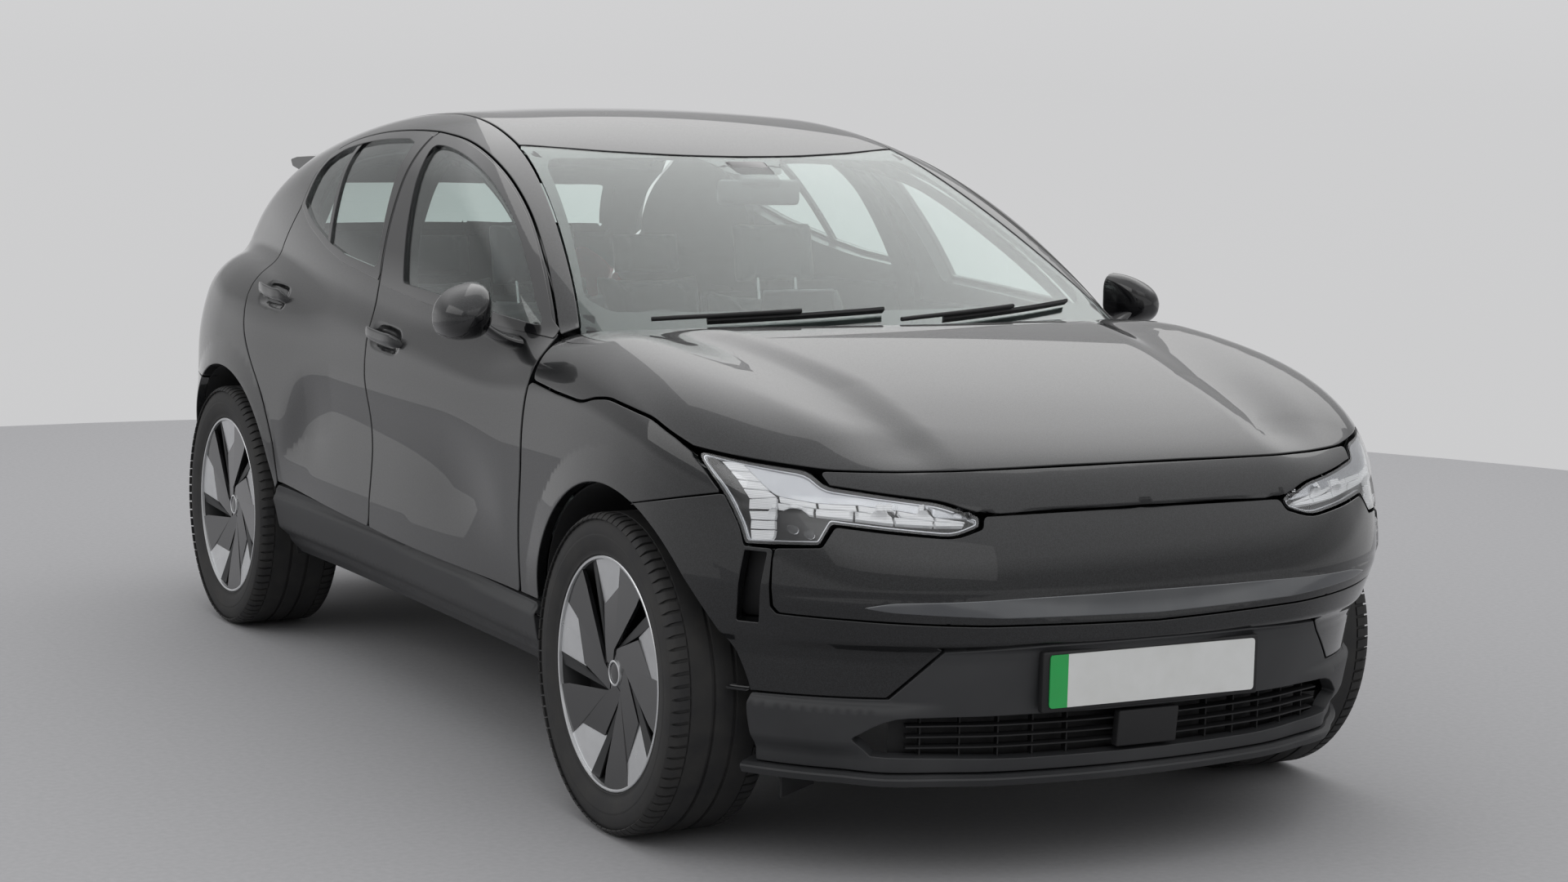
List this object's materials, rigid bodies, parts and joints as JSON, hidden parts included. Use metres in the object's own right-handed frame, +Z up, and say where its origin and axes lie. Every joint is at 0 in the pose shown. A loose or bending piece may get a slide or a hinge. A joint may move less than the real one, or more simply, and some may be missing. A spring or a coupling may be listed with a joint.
{
  "type": "electric crossover car",
  "caption": "Compact five-door electric crossover car with opening doors, bonnet and tailgate, steered front wheels and a hollow cabin.",
  "frame": {"origin": "on the ground under the middle of the car, at the centre of its box", "axes": "+Z up, the car faces -Y, its left side is +X"},
  "size_m": [2.032, 4.2332, 1.5487],
  "materials": {
    "battery_case": "satin",
    "clear_glass": "clear",
    "dark_trim": "matte",
    "gloss_black_paint": "gloss",
    "gloss_black_trim": "gloss",
    "lamp_lens": "clear",
    "plate_white": "satin",
    "red_lens": "clear",
    "seat_cloth": "woven",
    "steel_parts": "satin",
    "tyre_rubber": "matte",
    "underbody": "matte",
    "wheel_finish": "gloss"
  },
  "bodies": {
    "body": {"battery_pack": "battery_case", "body_side_left": "gloss_black_paint", "body_side_right": "gloss_black_paint", "cowl_panel": "dark_trim", "dashboard": "dark_trim", "drive_motor": "steel_parts", "floor_pan": "underbody", "front_bay": "underbody", "front_bumper": "gloss_black_paint", "front_seats": "seat_cloth", "front_suspension": "steel_parts", "front_valance": "dark_trim", "front_wings": "gloss_black_paint", "headlamps": "lamp_lens", "lower_grille": "dark_trim", "number_plates": "plate_white", "rear_bench": "seat_cloth", "rear_bumper": "gloss_black_paint", "rear_suspension": "steel_parts", "rear_valance": "dark_trim", "roof_panel": "gloss_black_paint", "sill_trims": "dark_trim", "tail_lamps": "red_lens", "wheelhouses": "underbody", "windscreen": "clear_glass"},
    "bonnet": {"bonnet": "gloss_black_paint"},
    "tailgate": {"tailgate": "gloss_black_paint", "rear_screen": "clear_glass", "rear_spoiler": "gloss_black_trim"},
    "door_front_left": {"door_front_left": "gloss_black_paint", "glass_front_left": "clear_glass", "mirror_left": "gloss_black_paint"},
    "door_front_right": {"door_front_right": "gloss_black_paint", "glass_front_right": "clear_glass", "mirror_right": "gloss_black_paint"},
    "door_rear_left": {"door_rear_left": "gloss_black_paint", "glass_rear_left": "clear_glass"},
    "door_rear_right": {"door_rear_right": "gloss_black_paint", "glass_rear_right": "clear_glass"},
    "knuckle_left": {"knuckle_left": "steel_parts"},
    "knuckle_right": {"knuckle_right": "steel_parts"},
    "wheel_front_left": {"tyre_front_left": "tyre_rubber", "rim_front_left": "wheel_finish"},
    "wheel_front_right": {"tyre_front_right": "tyre_rubber", "rim_front_right": "wheel_finish"},
    "wheel_rear_left": {"tyre_rear_left": "tyre_rubber", "rim_rear_left": "wheel_finish"},
    "wheel_rear_right": {"tyre_rear_right": "tyre_rubber", "rim_rear_right": "wheel_finish"},
    "steering_wheel": {"steering_wheel": "dark_trim"},
    "charge_flap": {"charge_flap": "gloss_black_paint"}
  },
  "joints": [
    {"name": "door_front_left_hinge", "type": "hinge", "parent": "body", "child": "door_front_left", "pos_m": [0.9, -0.854, 0.75], "axis": [0, 0, -1], "range_deg": [0, 66]},
    {"name": "door_front_right_hinge", "type": "hinge", "parent": "body", "child": "door_front_right", "pos_m": [-0.9, -0.854, 0.75], "axis": [0, 0, 1], "range_deg": [0, 66]},
    {"name": "door_rear_left_hinge", "type": "hinge", "parent": "body", "child": "door_rear_left", "pos_m": [0.902, 0.125, 0.75], "axis": [0, 0, -1], "range_deg": [0, 68]},
    {"name": "door_rear_right_hinge", "type": "hinge", "parent": "body", "child": "door_rear_right", "pos_m": [-0.902, 0.125, 0.75], "axis": [0, 0, 1], "range_deg": [0, 68]},
    {"name": "bonnet_hinge", "type": "hinge", "parent": "body", "child": "bonnet", "pos_m": [0, -0.803, 1.046], "axis": [-1, 0, 0], "range_deg": [0, 55]},
    {"name": "tailgate_hinge", "type": "hinge", "parent": "body", "child": "tailgate", "pos_m": [0, 1.519, 1.409], "axis": [1, 0, 0], "range_deg": [0, 75]},
    {"name": "steer_left", "type": "hinge", "parent": "body", "child": "knuckle_left", "pos_m": [0.752, -1.351, 0.352], "axis": [0, 0, 1], "range_deg": [-34, 34]},
    {"name": "wheel_front_left_spin", "type": "hinge", "parent": "knuckle_left", "child": "wheel_front_left", "pos_m": [0.798, -1.351, 0.352], "axis": [1, 0, 0], "continuous": true},
    {"name": "wheel_rear_left_spin", "type": "hinge", "parent": "body", "child": "wheel_rear_left", "pos_m": [0.798, 1.299, 0.352], "axis": [1, 0, 0], "continuous": true},
    {"name": "steer_right", "type": "hinge", "parent": "body", "child": "knuckle_right", "pos_m": [-0.752, -1.351, 0.352], "axis": [0, 0, 1], "range_deg": [-34, 34]},
    {"name": "wheel_front_right_spin", "type": "hinge", "parent": "knuckle_right", "child": "wheel_front_right", "pos_m": [-0.798, -1.351, 0.352], "axis": [1, 0, 0], "continuous": true},
    {"name": "wheel_rear_right_spin", "type": "hinge", "parent": "body", "child": "wheel_rear_right", "pos_m": [-0.798, 1.299, 0.352], "axis": [1, 0, 0], "continuous": true},
    {"name": "steering_wheel_turn", "type": "hinge", "parent": "body", "child": "steering_wheel", "pos_m": [-0.37, -0.43, 0.9], "axis": [0, -0.922, -0.3872], "range_deg": [-500, 500]},
    {"name": "charge_flap_hinge", "type": "hinge", "parent": "body", "child": "charge_flap", "pos_m": [0.9135, 1.4505, 0.904], "axis": [0, 0, -1], "range_deg": [0, 95]}
  ],
  "couplings": [
    {"joint": "steer_right", "follows": "steer_left", "ratio": 1},
    {"joint": "steering_wheel_turn", "follows": "steer_left", "ratio": 14.5}
  ]
}
